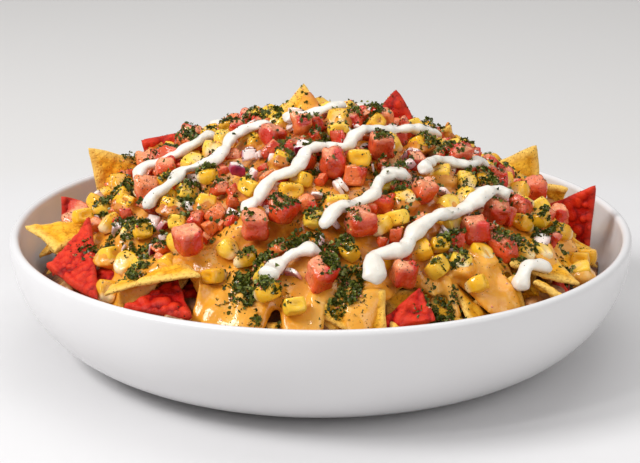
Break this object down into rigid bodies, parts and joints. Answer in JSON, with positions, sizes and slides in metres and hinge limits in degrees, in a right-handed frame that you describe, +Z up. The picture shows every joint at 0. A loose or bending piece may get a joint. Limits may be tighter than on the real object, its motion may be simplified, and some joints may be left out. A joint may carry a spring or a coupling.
{
  "type": "loaded nachos",
  "caption": "Wide white coupe bowl heaped with corn chips under melted cheese, topped with tomato dice, sweetcorn, onion, herbs and strands of sour cream.",
  "frame": {"origin": "centre of the bowl's foot ring on the surface it stands on", "axes": "+Z up out of the bowl, +Y away from the served side that the picture shows, +X to the right seen from that side"},
  "size_m": [0.26, 0.26, 0.1037],
  "materials": {
    "bowl_glaze": "plain white glaze, glossy",
    "cheese_heap": "chips under melted amber cheese sauce, half gloss",
    "yellow_chip": "dry fried maize, golden, matt",
    "red_chip": "dry fried red maize, bubbly, matt",
    "tomato_flesh": "cut tomato, wet",
    "corn_kernel": "boiled sweetcorn, half gloss",
    "sour_cream": "smooth sour cream, half gloss"
  },
  "bodies": {
    "root": {"bowl": "bowl_glaze", "nacho_heap": "cheese_heap", "chip_back_left": "yellow_chip", "chip_left_edge": "red_chip", "chip_left_flat": "yellow_chip", "chip_left_front": "red_chip", "chip_front_left": "yellow_chip", "chip_under_left": "red_chip", "chip_front": "yellow_chip", "chip_front_right": "red_chip", "chip_right_under": "yellow_chip", "chip_right_fold": "yellow_chip", "chip_right": "red_chip", "chip_right_small": "yellow_chip", "chip_back_right": "yellow_chip", "chip_crest_right": "red_chip", "chip_crest_left": "yellow_chip", "chip_shoulder_left": "red_chip", "chip_shoulder_right": "yellow_chip", "chip_rear_right": "yellow_chip", "chip_rear": "red_chip", "chip_rear_left": "yellow_chip", "chip_rear_corner": "red_chip", "tomato_01": "tomato_flesh", "tomato_02": "tomato_flesh", "tomato_03": "tomato_flesh", "tomato_04": "tomato_flesh", "tomato_05": "tomato_flesh", "tomato_06": "tomato_flesh", "tomato_07": "tomato_flesh", "tomato_08": "tomato_flesh", "tomato_09": "tomato_flesh", "tomato_10": "tomato_flesh", "tomato_11": "tomato_flesh", "tomato_12": "tomato_flesh", "tomato_13": "tomato_flesh", "tomato_14": "tomato_flesh", "tomato_15": "tomato_flesh", "tomato_16": "tomato_flesh", "tomato_17": "tomato_flesh", "tomato_18": "tomato_flesh", "tomato_19": "tomato_flesh", "tomato_20": "tomato_flesh", "tomato_21": "tomato_flesh", "kernel_01": "corn_kernel", "kernel_02": "corn_kernel", "kernel_03": "corn_kernel", "kernel_04": "corn_kernel", "kernel_05": "corn_kernel", "kernel_06": "corn_kernel", "kernel_07": "corn_kernel", "cream_left": "sour_cream", "cream_middle_left": "sour_cream", "cream_middle": "sour_cream", "cream_crest": "sour_cream", "cream_centre": "sour_cream", "cream_upper_right": "sour_cream", "cream_dab": "sour_cream", "cream_front": "sour_cream", "cream_right": "sour_cream"}
  },
  "joints": []
}
